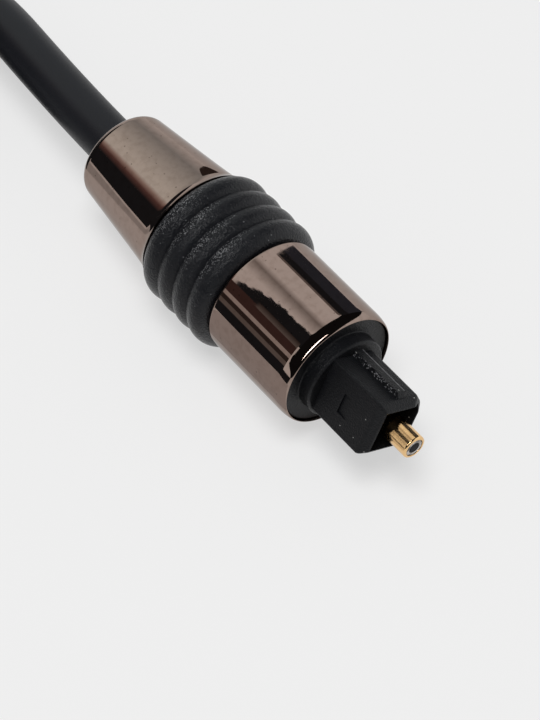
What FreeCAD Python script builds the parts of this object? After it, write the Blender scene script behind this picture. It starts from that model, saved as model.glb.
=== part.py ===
import FreeCAD, Part
import math
import os
import re
import Sketcher
from FreeCAD import Placement, Rotation, Vector

# Optical audio cable: two round plugs with a ribbed grip, joined by a jacketed plastic fibre.
# The near plug lies along +X on the surface z = 0, its nose to +X, its middle over the origin.
# The cable leaves it along -X and is folded into a tied hank, with the far plug inside the fold.

# Driving dimensions, in millimetres and degrees: name, value and what it measures.
SIZES = (
    ("rear_sleeve_length", 12.95, "rear sleeve, from the plug's rear end to the grip"),
    ("grip_length", 9.9, "grip, between the two sleeves"),
    ("front_sleeve_length", 11.95, "front sleeve, from the grip to its lip"),
    ("collar_recess", 0.3, "collar face behind the front sleeve's lip"),
    ("boss_height", 1.5, "boss in front of the collar face"),
    ("nose_length", 7.35, "nose, from the boss to its rim"),
    ("ferrule_reach", 2.8, "ferrule in front of the nose's rim"),
    ("rear_end_wall", 0.72, "rear sleeve's wall at the cable"),
    ("rear_end_edge", 0.4, "bevel round the rear sleeve's end"),
    ("cone_diameter", 11.66, "rear sleeve where its flare begins"),
    ("flare_length", 4.85, "flare at the front of the rear sleeve"),
    ("flare_diameter", 13.3, "rear sleeve at the grip"),
    ("grip_diameter", 14.8, "grip over its ribs"),
    ("grip_end_diameter", 13.2, "grip at its two ends"),
    ("shoulder_length", 1.4, "rounded shoulder at each end of the grip"),
    ("rib_count", 4, "ribs round the grip"),
    ("rib_pitch", 2.3, "from rib to rib"),
    ("valley_depth", 0.52, "valley between two ribs"),
    ("valley_width", 1.08, "valley at the ribs' tops"),
    ("sleeve_diameter", 12.9, "front sleeve outside"),
    ("lip_wall", 0.35, "front sleeve round the collar"),
    ("sleeve_edge", 0.45, "bevel at the front sleeve's rear end"),
    ("collar_thickness", 1.2, "collar in the front sleeve's mouth"),
    ("barrel_diameter", 8.4, "barrel under the sleeves and the grip"),
    ("barrel_inset", 0.5, "barrel's end inside the rear sleeve"),
    ("jacket_insert", 9.8, "cable jacket inside the plug"),
    ("boss_diameter", 8.92, "boss round the nose"),
    ("boss_edge", 0.3, "bevel round the boss"),
    ("nose_width", 6.1, "square nose across its flats"),
    ("nose_key", 1.0, "bevels on the two keyed corners of the nose"),
    ("nose_cavity", 4.55, "square hollow in the nose"),
    ("cavity_depth", 6.55, "hollow in the nose, from its rim"),
    ("rim_length", 0.75, "bevelled rim of the nose, along the plug"),
    ("rim_bevel", 0.65, "bevelled rim of the nose, across the plug"),
    ("guide_width", 1.0, "guide ribs on the nose's top and bottom"),
    ("guide_height", 0.54, "guide ribs over the nose's faces"),
    ("guide_end", 0.8, "guide ribs' ends behind the rim"),
    ("lock_width", 2.2, "lock recess across the nose"),
    ("lock_length", 1.5, "lock recess along the nose"),
    ("lock_depth", 0.35, "lock recess at its deep end"),
    ("lock_place", 4.7, "lock recess's deep end behind the rim"),
    ("ferrule_diameter", 2.5, "ferrule outside"),
    ("ferrule_edge", 0.2, "bevel round the ferrule's tip"),
    ("ferrule_wall", 0.295, "ferrule round the fibre's white jacket"),
    ("core_diameter", 1.0, "fibre"),
    ("fibre_recess", 0.05, "fibre's end inside the ferrule"),
    ("fit_gap", 0.03, "radial gap of pressed and glued fits"),
    ("near_roll", -25.8, "near plug turned about its axis"),
    ("far_roll", -25.8, "far plug turned about its axis"),
    ("cable_diameter", 5.2, "cable jacket"),
    ("hank_place", 64.0, "front fold's centre behind the origin"),
    ("hank_straight", 64.0, "hank between the centres of its folds"),
    ("fold_radius", 15.6, "innermost turn's fold"),
    ("turns_across", 3, "turns beside each other"),
    ("turns_high", 2, "turns on each other"),
    ("far_lead_length", 25.0, "cable from the hank to the far plug"),
    ("far_lead_turn", 17.0, "far lead's slant to the hank"),
    ("lead_gap", 0.3, "hank round the two leads"),
    ("tie_thickness", 0.8, "strap round the hank"),
    ("tie_width", 12.0, "strap along the hank"),
    ("tie_place", 12.0, "strap in front of the rear fold's centre"),
)

# Stations along a plug, measured from its rear end.
GRIP = "rear_sleeve_length"
SLEEVE = f"({GRIP} + grip_length)"
LIP = f"({SLEEVE} + front_sleeve_length)"
COLLAR = f"({LIP} - collar_recess)"
BOSS = f"({COLLAR} + boss_height)"
RIM = f"({BOSS} + nose_length)"
TIP = f"({RIM} + ferrule_reach)"
FLOOR = f"({RIM} - cavity_depth)"
SEAT = f"({COLLAR} - collar_thickness)"

# A grip shoulder's curve, as shares of its length and of its rise.
SHOULDER = ((0, 0), (0.3, 0.53), (0.64, 0.86), (1, 1))

# Radii that two pieces share.
BARREL_BORE = "(barrel_diameter / 2 + fit_gap)"
MOUTH = "(sleeve_diameter / 2 - lip_wall)"
COLLAR_RADIUS = f"({MOUTH} - fit_gap)"
CABLE_BORE = "(cable_diameter / 2 + fit_gap)"
REAR_END = f"({BARREL_BORE} + rear_end_wall)"
FIBRE_BORE = "(ferrule_diameter / 2 - ferrule_wall)"

# The hank: turns beside and on each other, folded about two centres, standing on its strap.
OUTER_FOLD = "(fold_radius + (turns_across - 1) * cable_diameter)"
HANK_OUTSIDE = f"({OUTER_FOLD} + cable_diameter / 2)"
HANK_INSIDE = "(fold_radius - cable_diameter / 2)"
HANK_HEIGHT = "(turns_high * cable_diameter)"
HANK_FOOT = "tie_thickness"
HANK_MIDDLE = f"-{OUTER_FOLD}"
FRONT_FOLD = "-hank_place"
REAR_FOLD = "(-hank_place - hank_straight)"

doc = FreeCAD.newDocument("optical_audio_cable")
sheet = doc.addObject("Spreadsheet::Sheet", "Sizes")
for row, (size_name, number, meaning) in enumerate(SIZES, start=1):
    sheet.set(f"A{row}", meaning)
    sheet.set(f"B{row}", str(number))
    sheet.setAlias(f"B{row}", size_name)
doc.recompute()

pieces = []


def bound(text):
    """An expression in which each size's name refers to its cell."""
    return re.sub("[a-z]+(_[a-z]+)+", r"Sizes.\g<0>", text)


def value(text):
    """The number that an expression of the sizes comes to."""
    return float(sheet.evalExpression(bound(text)))


def new_body(label, placement):
    """An empty body of one piece, at its place in the assembly."""
    body = doc.addObject("PartDesign::Body", label)
    body.Label = label
    body.Placement = placement
    pieces.append(body)
    return body


def new_sketch(body, name, role, offset="0"):
    """A sketch on one of the body's own origin planes, or parallel to it at an offset."""
    sketch = body.newObject("Sketcher::SketchObject", f"{body.Name}_{name}")
    plane = next(p for p in body.Origin.OriginFeatures if p.Role == role)
    sketch.AttachmentSupport = [(plane, "")]
    sketch.MapMode = "FlatFace"
    sketch.setExpression("AttachmentOffset.Base.z", bound(offset))
    return sketch


def draw_outline(sketch, corners):
    """A closed outline of straight lines, each corner bound to its two expressions."""
    count = len(corners)
    spots = [Vector(k, k * k, 0) for k in range(count)]
    for k in range(count):
        sketch.addGeometry(Part.LineSegment(spots[k], spots[(k + 1) % count]))
    for k in range(count):
        sketch.addConstraint(Sketcher.Constraint("Coincident", k, 2, (k + 1) % count, 1))
    for k, place in enumerate(corners):
        for kind, start, text in zip(("DistanceX", "DistanceY"), spots[k], place):
            number = sketch.addConstraint(Sketcher.Constraint(kind, -1, 1, k, 1, start))
            sketch.setExpression(f"Constraints[{number}]", bound(text))


def draw_block(sketch, left, right, low, high):
    """A rectangle between four expressions."""
    draw_outline(sketch, ((left, low), (right, low), (right, high), (left, high)))


def turn(body, kind, name, corners):
    """A revolved feature about the plug's axis, from corners given as station and radius."""
    sketch = new_sketch(body, f"{name}_outline", "XY_Plane")
    draw_outline(sketch, corners)
    feature = body.newObject(f"PartDesign::{kind}", f"{body.Name}_{name}")
    feature.Profile = sketch
    feature.ReferenceAxis = (sketch, ["H_Axis"])
    feature.Angle = 360
    return feature


def extrude(body, kind, name, sketch, length):
    """A pad to +X or a pocket to -X from a sketch across the plug."""
    feature = body.newObject(f"PartDesign::{kind}", f"{body.Name}_{name}")
    feature.Profile = sketch
    feature.setExpression("Length", bound(length))
    return feature


def turned_piece(label, placement, corners):
    """A piece that is one revolved outline."""
    body = new_body(label, placement)
    turn(body, "Revolution", "outline", corners)
    return body


def rear_sleeve(placement):
    """Turned metal cone with a bevelled end and a flare that meets the grip."""
    turned_piece("rear_sleeve", placement, (
        ("0", BARREL_BORE),
        ("0", f"{REAR_END} - rear_end_edge"),
        ("rear_end_edge", REAR_END),
        (f"{GRIP} - flare_length", "cone_diameter / 2"),
        (GRIP, "flare_diameter / 2"),
        (GRIP, BARREL_BORE),
    ))


def grip_ring(placement):
    """Rubber ring with rounded shoulders, and ribs parted by a row of valleys."""
    end = "grip_end_diameter / 2"
    top = "grip_diameter / 2"
    rise = "(grip_diameter - grip_end_diameter) / 2"
    curve = [(f"{share} * shoulder_length", f"{end} + {up} * {rise}") for share, up in SHOULDER]
    body = turned_piece("grip_ring", placement, (
        (GRIP, BARREL_BORE),
        *((f"{GRIP} + {place}", radius) for place, radius in curve),
        *((f"{SLEEVE} - {place}", radius) for place, radius in reversed(curve)),
        (SLEEVE, BARREL_BORE),
    ))
    first = f"({GRIP} + grip_length / 2 - (rib_count / 2 - 1) * rib_pitch)"
    valley = turn(body, "Groove", "valley", (
        (f"{first} - valley_width / 2", top),
        (first, f"{top} - valley_depth"),
        (f"{first} + valley_width / 2", top),
    ))
    doc.recompute()
    row = body.newObject("PartDesign::LinearPattern", f"{body.Name}_valleys")
    row.Originals = [valley]
    row.Direction = (valley.Profile[0], ["H_Axis"])
    row.setExpression("Occurrences", bound("rib_count - 1"))
    row.setExpression("Length", bound("(rib_count - 2) * rib_pitch"))
    body.Tip = row


def front_sleeve(placement):
    """Turned metal sleeve with a bevelled rear end and a thin lip round the collar."""
    outer = "sleeve_diameter / 2"
    turned_piece("front_sleeve", placement, (
        (SLEEVE, BARREL_BORE),
        (SLEEVE, f"{outer} - sleeve_edge"),
        (f"{SLEEVE} + sleeve_edge", outer),
        (LIP, outer),
        (LIP, MOUTH),
        (SEAT, MOUTH),
        (SEAT, BARREL_BORE),
    ))


def plug_body(placement):
    """Moulded body: keyed hollow nose, boss, collar and the barrel that takes the cable."""
    body = turned_piece("plug_body", placement, (
        ("jacket_insert", "0"),
        ("jacket_insert", CABLE_BORE),
        ("barrel_inset", CABLE_BORE),
        ("barrel_inset", "barrel_diameter / 2"),
        (SEAT, "barrel_diameter / 2"),
        (SEAT, COLLAR_RADIUS),
        (COLLAR, COLLAR_RADIUS),
        (COLLAR, "boss_diameter / 2"),
        (f"{BOSS} - boss_edge", "boss_diameter / 2"),
        (BOSS, "boss_diameter / 2 - boss_edge"),
        (BOSS, "0"),
    ))
    keyed_nose(body)
    fibre_hole(body)


def draw_nose(sketch, inset):
    """The nose's section: a square with two keyed corners, drawn in by an inset."""
    edge = f"(nose_width / 2 - {inset})"
    draw_outline(sketch, (
        (f"-{edge}", f"-{edge}"),
        (f"{edge} - nose_key", f"-{edge}"),
        (edge, f"nose_key - {edge}"),
        (edge, f"{edge} - nose_key"),
        (f"{edge} - nose_key", edge),
        (f"-{edge}", edge),
    ))


def keyed_nose(body):
    """Square nose with bevelled rim, guide ribs on two faces, a hollow and a lock recess."""
    shoulder = f"({RIM} - rim_length)"
    section = new_sketch(body, "nose_section", "YZ_Plane", f"{BOSS} - boss_edge")
    draw_nose(section, "0")
    extrude(body, "Pad", "nose", section, "boss_edge + nose_length - rim_length")

    wide = new_sketch(body, "rim_foot", "YZ_Plane", shoulder)
    draw_nose(wide, "0")
    narrow = new_sketch(body, "rim_top", "YZ_Plane", RIM)
    draw_nose(narrow, "rim_bevel")
    rim = body.newObject("PartDesign::AdditiveLoft", f"{body.Name}_rim")
    rim.Profile = wide
    rim.Sections = [narrow]
    rim.Ruled = True

    across = new_sketch(body, "guide_section", "YZ_Plane", BOSS)
    reach = "(nose_width / 2 + guide_height)"
    draw_block(across, "-guide_width / 2", "guide_width / 2", f"-{reach}", reach)
    extrude(body, "Pad", "guides", across, "nose_length - guide_end")

    hollow = new_sketch(body, "hollow_section", "YZ_Plane", RIM)
    half = "nose_cavity / 2"
    draw_block(hollow, f"-{half}", half, f"-{half}", half)
    extrude(body, "Pocket", "hollow", hollow, "cavity_depth")

    wedge = new_sketch(body, "lock_outline", "XY_Plane")
    face = "-nose_width / 2"
    draw_outline(wedge, (
        (f"{RIM} - lock_place", face),
        (f"{RIM} - lock_place + lock_length", face),
        (f"{RIM} - lock_place", f"{face} + lock_depth"),
    ))
    lock = extrude(body, "Pocket", "lock", wedge, "lock_width")
    lock.Midplane = True


def fibre_hole(body):
    """Bore for the fibre, from the nose's hollow back to the cable's jacket."""
    section = new_sketch(body, "fibre_section", "YZ_Plane", FLOOR)
    section.addGeometry(Part.Circle(Vector(0, 0, 0), Vector(0, 0, 1), 1))
    section.addConstraint(Sketcher.Constraint("Coincident", 0, 3, -1, 1))
    number = section.addConstraint(Sketcher.Constraint("Radius", 0, 1))
    section.setExpression(f"Constraints[{number}]", bound(FIBRE_BORE))
    extrude(body, "Pocket", "fibre_hole", section, f"{FLOOR} - jacket_insert")


def fibre_layer(label, placement, bore, outer):
    """One layer of the fibre, from the end of the cable's jacket to the ferrule's tip."""
    end = f"{TIP} - fibre_recess"
    turned_piece(label, placement, (
        ("jacket_insert", bore),
        ("jacket_insert", outer),
        (end, outer),
        (end, bore),
    ))


def ferrule(placement):
    """Gilt tube with a bevelled tip, glued round the fibre and standing on the hollow's floor."""
    turned_piece("ferrule", placement, (
        (FLOOR, FIBRE_BORE),
        (FLOOR, "ferrule_diameter / 2"),
        (f"{TIP} - ferrule_edge", "ferrule_diameter / 2"),
        (TIP, "ferrule_diameter / 2 - ferrule_edge"),
        (TIP, FIBRE_BORE),
    ))


def near_plug(placement):
    """The plug in use, hollow all through."""
    fibre_layer("fibre_core", placement, "0", "core_diameter / 2")
    fibre_layer("fibre_buffer", placement, "core_diameter / 2 + fit_gap", f"{FIBRE_BORE} - fit_gap")
    ferrule(placement)
    plug_body(placement)
    front_sleeve(placement)
    grip_ring(placement)
    rear_sleeve(placement)


def plain_piece(label, placement, rear, front, rear_radius, front_radius):
    """A closed cylinder or cone between two stations."""
    return turned_piece(label, placement, (
        (rear, "0"),
        (rear, rear_radius),
        (front, front_radius),
        (front, "0"),
    ))


def far_plug(placement):
    """The plug put away: the same outline from fewer faces, its pieces closed and stacked."""
    grip = "grip_diameter / 2"
    sleeve = "sleeve_diameter / 2"
    tip = "ferrule_diameter / 2"
    boss = "boss_diameter / 2"
    plain_piece("far_rear_sleeve", placement, "0", GRIP, REAR_END, "flare_diameter / 2")
    plain_piece("far_grip_ring", placement, GRIP, SLEEVE, grip, grip)
    plain_piece("far_front_sleeve", placement, SLEEVE, LIP, sleeve, sleeve)
    plain_piece("far_ferrule", placement, FLOOR, TIP, tip, tip)
    keyed_nose(plain_piece("far_plug_body", placement, LIP, BOSS, boss, boss))


def block(name, corner, sides):
    """A box bound to its lowest corner's and its sides' expressions."""
    box = doc.addObject("Part::Box", name)
    for axis, side, place, length in zip("xyz", ("Length", "Width", "Height"), corner, sides):
        box.setExpression(f"Placement.Base.{axis}", bound(place))
        box.setExpression(side, bound(length))
    return box


def post(name, foot, radius):
    """A standing cylinder as high as the hank, bound to its foot's and radius's expressions."""
    cylinder = doc.addObject("Part::Cylinder", name)
    for axis, place in zip("xyz", foot):
        cylinder.setExpression(f"Placement.Base.{axis}", bound(place))
    cylinder.setExpression("Radius", bound(radius))
    cylinder.setExpression("Height", bound(HANK_HEIGHT))
    return cylinder


def cut(label, base, tool):
    """The base less the tool."""
    result = doc.addObject("Part::Cut", label)
    result.Base = base
    result.Tool = tool
    result.Refine = True
    return result


def stadium(name, radius):
    """A block with round ends about the centres of the hank's two folds."""
    corner = (REAR_FOLD, f"{HANK_MIDDLE} - {radius}", HANK_FOOT)
    fused = doc.addObject("Part::MultiFuse", name)
    fused.Shapes = [
        block(f"{name}_middle", corner, ("hank_straight", f"2 * {radius}", HANK_HEIGHT)),
        post(f"{name}_rear", (REAR_FOLD, HANK_MIDDLE, HANK_FOOT), radius),
        post(f"{name}_front", (FRONT_FOLD, HANK_MIDDLE, HANK_FOOT), radius),
    ]
    fused.Refine = True
    return fused


def lead_slot(name, end, outward):
    """A square channel for a lead, from the lead's end face outwards and open to the top."""
    slot = doc.addObject("Part::Box", name)
    slot.setExpression("Length", bound("2 * fold_radius"))
    slot.setExpression("Width", bound("cable_diameter + 2 * lead_gap"))
    slot.setExpression("Height", bound("2 * fold_radius"))
    aside = value("cable_diameter / 2 + lead_gap")
    facing = Rotation(Vector(1, 0, 0), outward)
    slot.Placement = Placement(end + facing.multVec(Vector(0, -aside, -aside)), facing)
    return slot


def hank(near_end, near_way, far_end, far_way):
    """The folded turns as one closed ring, with a slot for each lead."""
    ring = cut("ring", stadium("outside", HANK_OUTSIDE), stadium("inside", HANK_INSIDE))
    entered = cut("entered_ring", ring, lead_slot("near_slot", near_end, near_way))
    pieces.append(cut("hank", entered, lead_slot("far_slot", far_end, far_way)))


def cable_tie():
    """A strap that lies flat round the hank."""
    place = f"{REAR_FOLD} + tie_place"
    side = f"{HANK_MIDDLE} - {HANK_OUTSIDE}"
    width = f"2 * {HANK_OUTSIDE}"
    strap = block(
        "strap",
        (place, f"{side} - tie_thickness", "0"),
        ("tie_width", f"{width} + 2 * tie_thickness", f"{HANK_HEIGHT} + 2 * tie_thickness"),
    )
    held = block("held", (place, side, "tie_thickness"), ("tie_width", width, HANK_HEIGHT))
    pieces.append(cut("cable_tie", strap, held))


def lead(label, start, way, length):
    """A straight stretch of cable along a given way."""
    cylinder = doc.addObject("Part::Cylinder", label)
    cylinder.setExpression("Radius", bound("cable_diameter / 2"))
    cylinder.setExpression("Height", bound(length))
    cylinder.Placement = Placement(start, Rotation(Vector(0, 0, 1), way))
    pieces.append(cylinder)


axis_height = value("grip_diameter / 2")
along = Vector(1, 0, 0)
plug_rear = Vector(-value(f"{TIP} / 2"), 0, axis_height)
near_plug(Placement(plug_rear, Rotation(along, value("near_roll"))))

# The near lead runs from inside the plug straight back to the hank's outer turn.
hank_entry = Vector(-value("hank_place"), 0, axis_height)
lead("near_lead", hank_entry, along, f"hank_place + jacket_insert - {TIP} / 2")

# The far lead leaves the inner turn of the top layer past the rear fold, slanting into the hank,
# and falls as much as lets the front edge of the far plug's grip rest on the surface.
slant = math.radians(value("far_lead_turn"))
top_layer = value("tie_thickness + (turns_high - 1 / 2) * cable_diameter")
rear_fold = Vector(value(REAR_FOLD), value(HANK_MIDDLE), top_layer)
hank_exit = rear_fold + Vector(math.sin(slant), -math.cos(slant), 0) * value("fold_radius")
fall = math.asin((top_layer - axis_height) / value(f"far_lead_length + {SLEEVE}"))
far_way = Vector(
    math.cos(slant) * math.cos(fall),
    math.sin(slant) * math.cos(fall),
    -math.sin(fall),
)
lead("far_lead", hank_exit, far_way, "far_lead_length")
far_turn = Rotation(along, far_way) * Rotation(along, value("far_roll"))
far_plug(Placement(hank_exit + far_way * value("far_lead_length"), far_turn))

hank(hank_entry, along, hank_exit, far_way)
cable_tie()
doc.recompute()

for item in doc.Objects:
    if "Invalid" in item.State or "Error" in item.State:
        raise RuntimeError(f"{item.Label} failed: {item.State}")
for piece in pieces:
    if piece.Shape.isNull() or not piece.Shape.isValid():
        raise RuntimeError(f"{piece.Label} has no valid shape")
os.makedirs("parts", exist_ok=True)
for piece in pieces:
    piece.Shape.exportStep(f"parts/{piece.Label}.step")
    print(f"{piece.Label}: {len(piece.Shape.Solids)} solid, {piece.Shape.Volume:.1f} cubic mm")
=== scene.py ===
# %% [markdown]
# # An optical audio cable
#
# The part is a fibre cable for digital sound: a plug with two polished sleeves, a ribbed rubber
# grip and a keyed nose, and a cable that is folded away and tied. The CAD model gives every piece
# its size and place. Here each piece gets the fine rounded form and the finish that a camera sees.
# The finished pieces are in metres, in the CAD model's own frame.

# %% Load the CAD frame
import math
import random

import bmesh
import bpy
from mathutils import Matrix, Vector


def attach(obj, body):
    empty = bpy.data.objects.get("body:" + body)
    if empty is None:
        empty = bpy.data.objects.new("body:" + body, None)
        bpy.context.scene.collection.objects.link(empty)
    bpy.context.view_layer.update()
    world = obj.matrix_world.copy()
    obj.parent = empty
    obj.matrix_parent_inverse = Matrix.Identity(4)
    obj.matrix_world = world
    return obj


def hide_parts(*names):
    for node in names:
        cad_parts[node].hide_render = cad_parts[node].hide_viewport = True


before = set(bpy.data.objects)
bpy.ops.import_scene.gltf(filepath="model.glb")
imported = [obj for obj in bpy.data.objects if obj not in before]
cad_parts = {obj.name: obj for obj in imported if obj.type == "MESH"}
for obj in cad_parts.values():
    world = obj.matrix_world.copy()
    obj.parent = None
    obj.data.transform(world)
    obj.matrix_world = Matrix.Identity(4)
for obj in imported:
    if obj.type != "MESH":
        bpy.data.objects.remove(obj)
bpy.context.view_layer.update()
scene = bpy.context.scene

# %% [markdown]
# ## Where things are along the plug
#
# A turned product is easiest to describe by stations: distances along its axis from the rear end.
# Each plug is drawn once in its own frame, in millimetres, and then set in place by a matrix. The
# near plug lies along +X. The far one lies inside the folded cable and leans down a little, so that
# its grip rests on the table.

# %% Stations and places of the two plugs
MM = 0.001
GRIP, SLEEVE, SEAT, COLLAR, LIP = 12.95, 22.85, 33.3, 34.5, 34.8
BOSS, HOLLOW, RIM, TIP = 36.0, 36.8, 43.35, 46.15
AXIS_HEIGHT, CABLE_RADIUS, ROLL = 7.4, 2.6, math.radians(-25.8)

REAR_X, MIDDLE_Y, HIGH, INNER = -128.0, -26.0, 8.6, 15.6
REAR_FOLD = Vector((REAR_X, MIDDLE_Y, HIGH))
FAR_LEAD, SLANT = 25.0, math.radians(17)
hank_exit = REAR_FOLD + INNER * Vector((math.sin(SLANT), -math.cos(SLANT), 0))
fall = math.asin((REAR_FOLD.z - AXIS_HEIGHT) / (FAR_LEAD + SLEEVE))
level = math.cos(fall)
far_way = Vector((math.cos(SLANT) * level, math.sin(SLANT) * level, -math.sin(fall)))
far_rear = hank_exit + FAR_LEAD * far_way


def plug_place(rear_end, way):
    """The matrix that takes a plug from its own frame in mm to the part's frame in metres."""
    aim = Vector((1, 0, 0)).rotation_difference(way).to_matrix().to_4x4()
    return Matrix.Scale(MM, 4) @ Matrix.Translation(rear_end) @ aim @ Matrix.Rotation(ROLL, 4, "X")


PLUGS = (
    ("near", "", plug_place(Vector((-TIP / 2, 0, AXIS_HEIGHT)), Vector((1, 0, 0)))),
    ("far", "far_", plug_place(far_rear, far_way)),
)
print("far plug's rear end", tuple(round(v, 1) for v in far_rear), "mm")

# %% [markdown]
# ## Effects that several finishes share
#
# Moulded rubber, moulded plastic and the cable's jacket all have a fine grain, and dust lies on
# most of them. Each such effect is a node group: built once, with named sockets, and placed in a
# material with its own numbers. Object coordinates keep the grain the same size on every piece.

# %% Helpers for nodes


def start_group(name, inputs, outputs):
    """An empty shader node group with float sockets; gives its tree, input node and output node."""
    tree = bpy.data.node_groups.new(name, "ShaderNodeTree")
    for label, start in inputs:
        socket = tree.interface.new_socket(name=label, in_out="INPUT", socket_type="NodeSocketFloat")
        socket.default_value = start
    for label in outputs:
        tree.interface.new_socket(name=label, in_out="OUTPUT", socket_type="NodeSocketFloat")
    print("group:", name)
    return tree, tree.nodes.new("NodeGroupInput"), tree.nodes.new("NodeGroupOutput")


def feed(tree, socket, source):
    """Links a socket to another node's output, or types a value into it."""
    if isinstance(source, bpy.types.NodeSocket):
        tree.links.new(source, socket)
    else:
        socket.default_value = source


def add_node(tree, kind, settings=(), **inputs):
    """A new node with settings and input values; an input may be another node's output."""
    node = tree.nodes.new(kind)
    for label, setting in dict(settings).items():
        setattr(node, label, setting)
    for label, source in inputs.items():
        feed(tree, node.inputs[label.replace("_", " ")], source)
    return node


def add_math(tree, operation, first, second):
    """A Math node's output."""
    node = tree.nodes.new("ShaderNodeMath")
    node.operation = operation
    for socket, source in zip(node.inputs, (first, second)):
        feed(tree, socket, source)
    return node.outputs["Value"]


# %% [markdown]
# ### Grain
#
# A moulded skin has tiny pits, and its tone changes slowly from place to place. A fine noise gives the
# height of the skin, and a coarse one its tone.

# %% Grain: a fine height for bump and a slow change of tone
grain, grain_in, grain_out = start_group(
    "fine grain", (("Scale", 6000.0), ("Patches", 150.0)), ("Height", "Tone"))
spot = add_node(grain, "ShaderNodeTexCoord").outputs["Object"]
pits = add_node(grain, "ShaderNodeTexNoise", Vector=spot, Scale=grain_in.outputs["Scale"], Detail=2.0)
patches = add_node(grain, "ShaderNodeTexNoise", Vector=spot, Scale=grain_in.outputs["Patches"],
                   Detail=3.0)
grain.links.new(pits.outputs["Fac"], grain_out.inputs["Height"])
grain.links.new(patches.outputs["Fac"], grain_out.inputs["Tone"])

# %% [markdown]
# ### Dust
#
# Dust is a scatter of specks of many sizes. A Voronoi texture splits the surface into cells of random
# colour: red picks the few cells that hold a speck, and green sets how wide it is.

# %% Dust: a few round specks, picked from the cells of a Voronoi texture
dust, dust_in, dust_out = start_group(
    "dust", (("Scale", 1500.0), ("Size", 0.2), ("Amount", 0.1)), ("Mask",))
spot = add_node(dust, "ShaderNodeTexCoord").outputs["Object"]
cells = add_node(dust, "ShaderNodeTexVoronoi", Vector=spot, Scale=dust_in.outputs["Scale"])
draw = add_node(dust, "ShaderNodeSeparateColor", Color=cells.outputs["Color"])
picked = add_math(dust, "LESS_THAN", draw.outputs["Red"], dust_in.outputs["Amount"])
width = add_math(dust, "MULTIPLY", draw.outputs["Green"], dust_in.outputs["Size"])
inside = add_math(dust, "LESS_THAN", cells.outputs["Distance"], width)
dust.links.new(add_math(dust, "MULTIPLY", picked, inside), dust_out.inputs["Mask"])

# %% [markdown]
# ### Smudges
#
# Fingers leave soft cloudy marks on polished metal. A noise gives the clouds, and a soft step lets
# only its higher parts through, so most of the surface stays clean.

# %% Smudges: soft cloudy marks that dull a polished surface
smudge, smudge_in, smudge_out = start_group("smudges", (("Scale", 500.0),), ("Mask",))
spot = add_node(smudge, "ShaderNodeTexCoord").outputs["Object"]
cloud = add_node(smudge, "ShaderNodeTexNoise", Vector=spot, Scale=smudge_in.outputs["Scale"],
                 Detail=5.0)
SOFT_STEP = (("interpolation_type", "SMOOTHSTEP"),)
marks = add_node(smudge, "ShaderNodeMapRange", SOFT_STEP,
                 Value=cloud.outputs["Fac"], From_Min=0.4, From_Max=0.75)
smudge.links.new(marks.outputs["Result"], smudge_out.inputs["Mask"])

# %% [markdown]
# ## The finishes
#
# Every finish is a Principled shader with a little variation fed into it. A number that is the same
# all over a piece is typed into the shader's own socket, and only what varies comes from nodes.

# %% Helpers for finishes


def start_finish(name, color, roughness, metallic=0.0, specular=0.5):
    """A material with a Principled shader; gives the material, its node tree and the shader."""
    material = bpy.data.materials.new(name)
    material.use_nodes = True
    tree = material.node_tree
    shader = tree.nodes["Principled BSDF"]
    shader.inputs["Base Color"].default_value = (*color, 1)
    shader.inputs["Roughness"].default_value = roughness
    shader.inputs["Metallic"].default_value = metallic
    shader.inputs["Specular IOR Level"].default_value = specular
    print("finish:", name)
    return material, tree, shader


def place_group(tree, group, **inputs):
    """The outputs of a node that uses a group with its own values."""
    node = tree.nodes.new("ShaderNodeGroup")
    node.node_tree = group
    for label, number in inputs.items():
        node.inputs[label].default_value = number
    return node.outputs


def vary(tree, target, mask, low, high):
    """Drives a number socket from low to high by a mask."""
    span = add_node(tree, "ShaderNodeMapRange", Value=mask, To_Min=low, To_Max=high)
    tree.links.new(span.outputs["Result"], target)


def tint(tree, target, mask, dark, light):
    """Drives a colour socket from one colour to another by a mask, and gives the mixed colour."""
    mix = tree.nodes.new("ShaderNodeMix")
    mix.data_type = "RGBA"
    tree.links.new(mask, mix.inputs["Factor"])
    for socket, color in zip([s for s in mix.inputs if s.type == "RGBA"], (dark, light)):
        feed(tree, socket, color if isinstance(color, bpy.types.NodeSocket) else (*color, 1))
    result = [s for s in mix.outputs if s.type == "RGBA"][0]
    tree.links.new(result, target)
    return result


def roughen(tree, shader, height, strength, depth):
    """Bump from a height, with the depth in metres."""
    bump = add_node(tree, "ShaderNodeBump", Height=height, Strength=strength, Distance=depth)
    tree.links.new(bump.outputs["Normal"], shader.inputs["Normal"])


def add_skin(tree, shader, sizes, colors, roughness, bump):
    """A skin from the grain group, which varies colour, roughness and bump; gives the colour."""
    skin = place_group(tree, grain, Scale=sizes[0], Patches=sizes[1])
    vary(tree, shader.inputs["Roughness"], skin["Tone"], *roughness)
    roughen(tree, shader, skin["Height"], *bump)
    return tint(tree, shader.inputs["Base Color"], skin["Tone"], *colors)


# %% [markdown]
# ### Polished dark metal
#
# The sleeves are plated with a dark bronze-grey metal and polished like a mirror. Metal has no
# colour of its own apart from what it reflects, so the shader is fully metallic, and the base
# colour is what the plating gives back of a white reflection. The Specular Tint does the same for
# what is seen edge-on. Fingers leave faint smudges, and the plating has a few tiny pits.

# %% Polished dark metal
gunmetal, tree, shader = start_finish("polished_dark_metal", (0.285, 0.215, 0.185), 0.05, 1.0)
shader.inputs["Specular Tint"].default_value = (0.72, 0.71, 0.7, 1)
base = shader.inputs["Base Color"]
marks = place_group(tree, smudge, Scale=1500.0)["Mask"]
pits = place_group(tree, dust, Scale=3600.0, Size=0.34, Amount=0.06)["Mask"]
vary(tree, shader.inputs["Roughness"], marks, 0.015, 0.03)
plain = tint(tree, base, marks, (0.3, 0.228, 0.196), (0.262, 0.196, 0.166))
tint(tree, base, pits, plain, (0.17, 0.125, 0.105))

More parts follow.
